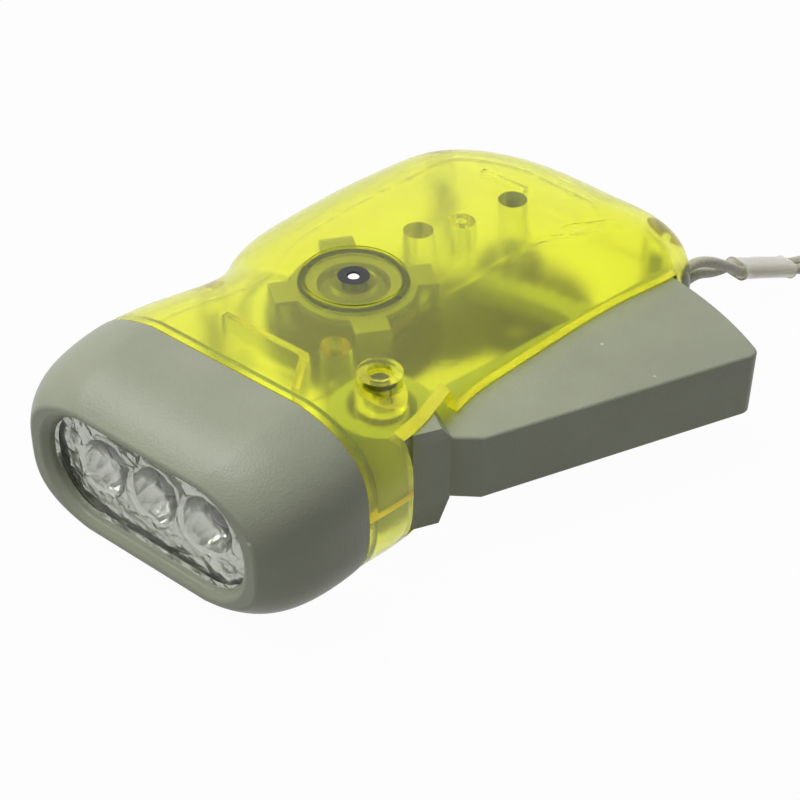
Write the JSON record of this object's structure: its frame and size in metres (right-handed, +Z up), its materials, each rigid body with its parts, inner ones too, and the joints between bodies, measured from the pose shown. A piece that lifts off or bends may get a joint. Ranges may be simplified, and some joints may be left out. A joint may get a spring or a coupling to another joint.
{
  "type": "squeeze dynamo torch",
  "caption": "Hand squeezed dynamo torch: a see-through casing with gears and generator, a grey squeeze lever, a grey head with lamps behind a clear window, and a wrist cord.",
  "frame": {"origin": "on the flat underside that the torch lies on, straight below the axis of the generator's rotor", "axes": "+X the way the light shines, +Y the side of the squeeze lever, +Z up, away from the face it lies on"},
  "size_m": [0.1543, 0.0982, 0.0305],
  "materials": {
    "translucent_shell": "glossy, see-through yellow-green",
    "grey_plastic": "satin grey",
    "clear_plastic": "clear and polished",
    "bright_metal": "bright, crinkled",
    "lamp_resin": "clear",
    "board_green": "satin",
    "steel": "turned",
    "white_plastic": "natural white, satin",
    "flywheel_iron": "blackened",
    "dark_plastic": "black, satin",
    "magnet_black": "dull sintered",
    "zinc_sheet": "zinc plated",
    "copper_wire": "enamelled",
    "lead_insulation": "smooth insulation",
    "clear_sleeve": "clear, slightly cloudy",
    "cord_braid": "silver grey braid"
  },
  "bodies": {
    "casing": {"bottom_bush": "dark_plastic", "case_screws": "steel", "coil_bobbin": "dark_plastic", "coil_winding": "copper_wire", "drive_axle": "steel", "front_lens": "clear_plastic", "head_bezel": "grey_plastic", "idler_axle": "steel", "lamp_board": "board_green", "lamp_lead_left": "lead_insulation", "lamp_lead_right": "lead_insulation", "led_centre": "lamp_resin", "led_left": "lamp_resin", "led_right": "lamp_resin", "lever_pivot_pin": "steel", "lever_return_spring": "steel", "lower_shell": "translucent_shell", "lower_yoke": "zinc_sheet", "reflector": "bright_metal", "strap_anchor": "grey_plastic", "strap_sleeve": "clear_sleeve", "top_bush": "dark_plastic", "upper_shell": "translucent_shell", "upper_yoke": "zinc_sheet", "wrist_cord_coil": "cord_braid", "wrist_cord_lower": "cord_braid", "wrist_cord_upper": "cord_braid"},
    "lever": {"squeeze_lever": "grey_plastic"},
    "drive": {"rack_pinion": "white_plastic", "drive_wheel": "white_plastic"},
    "idler": {"idler_gear": "white_plastic"},
    "rotor": {"rotor_pinion": "white_plastic", "flywheel": "flywheel_iron", "magnet_seat": "dark_plastic", "rotor_magnet": "magnet_black", "rotor_shaft": "steel"}
  },
  "joints": [
    {"name": "lever_squeeze", "type": "hinge", "parent": "casing", "child": "lever", "pos_m": [0.0165, 0.0188, 0.015], "axis": [0, 0, 1], "range_deg": [0, 18], "stiffness_Nm_per_rad": 1.5, "springref_deg": -17.19},
    {"name": "drive_turn", "type": "hinge", "parent": "casing", "child": "drive", "pos_m": [-0.03404, 0.00497, 0.015], "axis": [0, 0, 1], "range_deg": [-178.6, 0.1]},
    {"name": "idler_turn", "type": "hinge", "parent": "casing", "child": "idler", "pos_m": [-0.01707, -0.00102, 0.015], "axis": [0, 0, 1], "range_deg": [-0.1, 535.6]},
    {"name": "rotor_turn", "type": "hinge", "parent": "casing", "child": "rotor", "pos_m": [0, 0, 0.015], "axis": [0, 0, 1], "range_deg": [-2008.3, 0.1]}
  ],
  "couplings": [
    {"joint": "drive_turn", "follows": "lever_squeeze", "ratio": -9.9167},
    {"joint": "idler_turn", "follows": "lever_squeeze", "ratio": 29.75},
    {"joint": "rotor_turn", "follows": "lever_squeeze", "ratio": -111.56}
  ]
}
